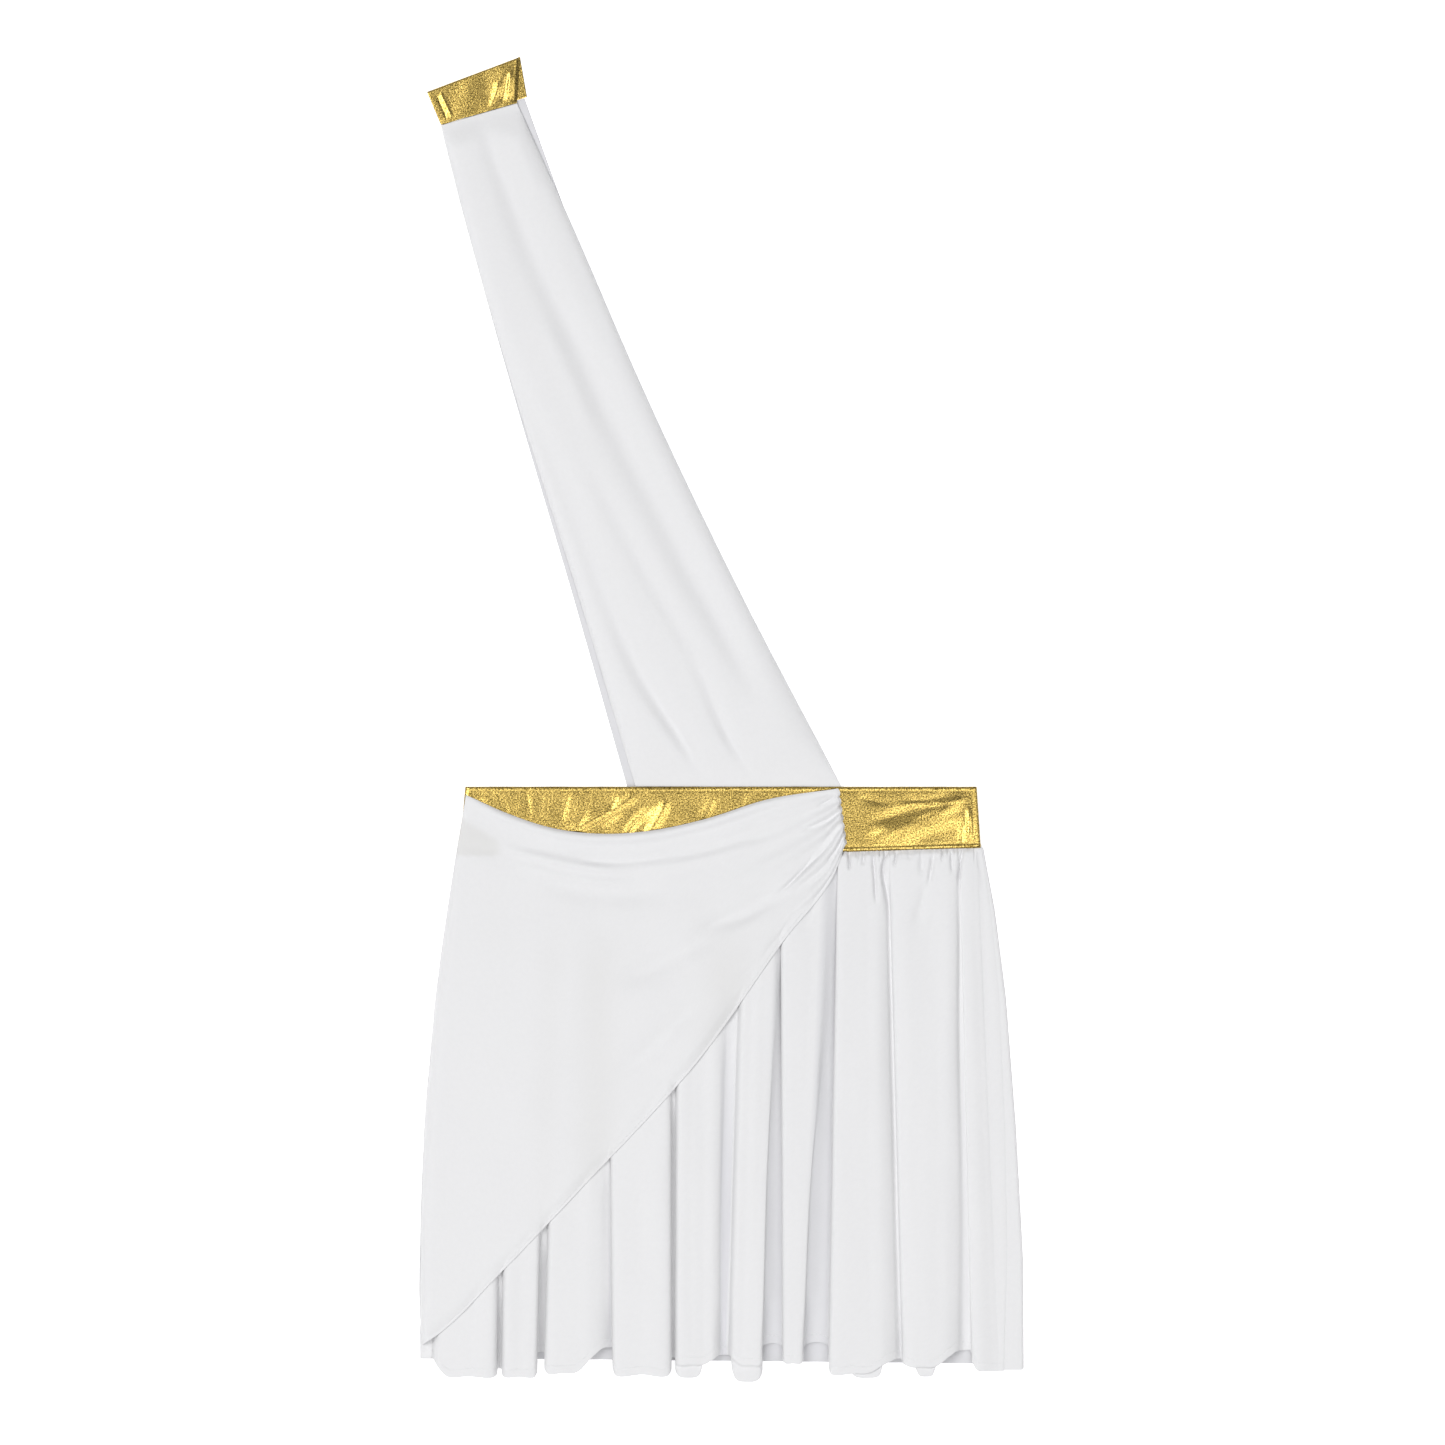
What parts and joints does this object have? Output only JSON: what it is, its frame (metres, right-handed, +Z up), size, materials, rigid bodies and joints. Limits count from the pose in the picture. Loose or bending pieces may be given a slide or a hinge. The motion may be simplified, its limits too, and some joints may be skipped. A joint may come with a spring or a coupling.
{
  "type": "one-shoulder toga costume, laid flat",
  "caption": "White jersey one-shoulder toga costume with a gold waistband and shoulder tab, gathered skirt and crossing drape, laid flat with its front up.",
  "frame": {"origin": "under the middle of the whole garment, on the surface it lies on", "axes": "+X to the viewer's right across the front, +Y from the hem to the shoulder, +Z up out of the front"},
  "size_m": [0.4833, 1.0594, 0.0167],
  "materials": {
    "white_jersey": "matt fine knit",
    "gold_foil_jersey": "metallic foil, creased"
  },
  "bodies": {
    "root": {"waistband_front": "gold_foil_jersey", "waistband_back": "gold_foil_jersey", "skirt_front": "white_jersey", "skirt_back": "white_jersey", "drape_panel": "white_jersey", "sash_front": "white_jersey", "sash_back": "white_jersey", "shoulder_tab": "gold_foil_jersey"}
  },
  "joints": []
}
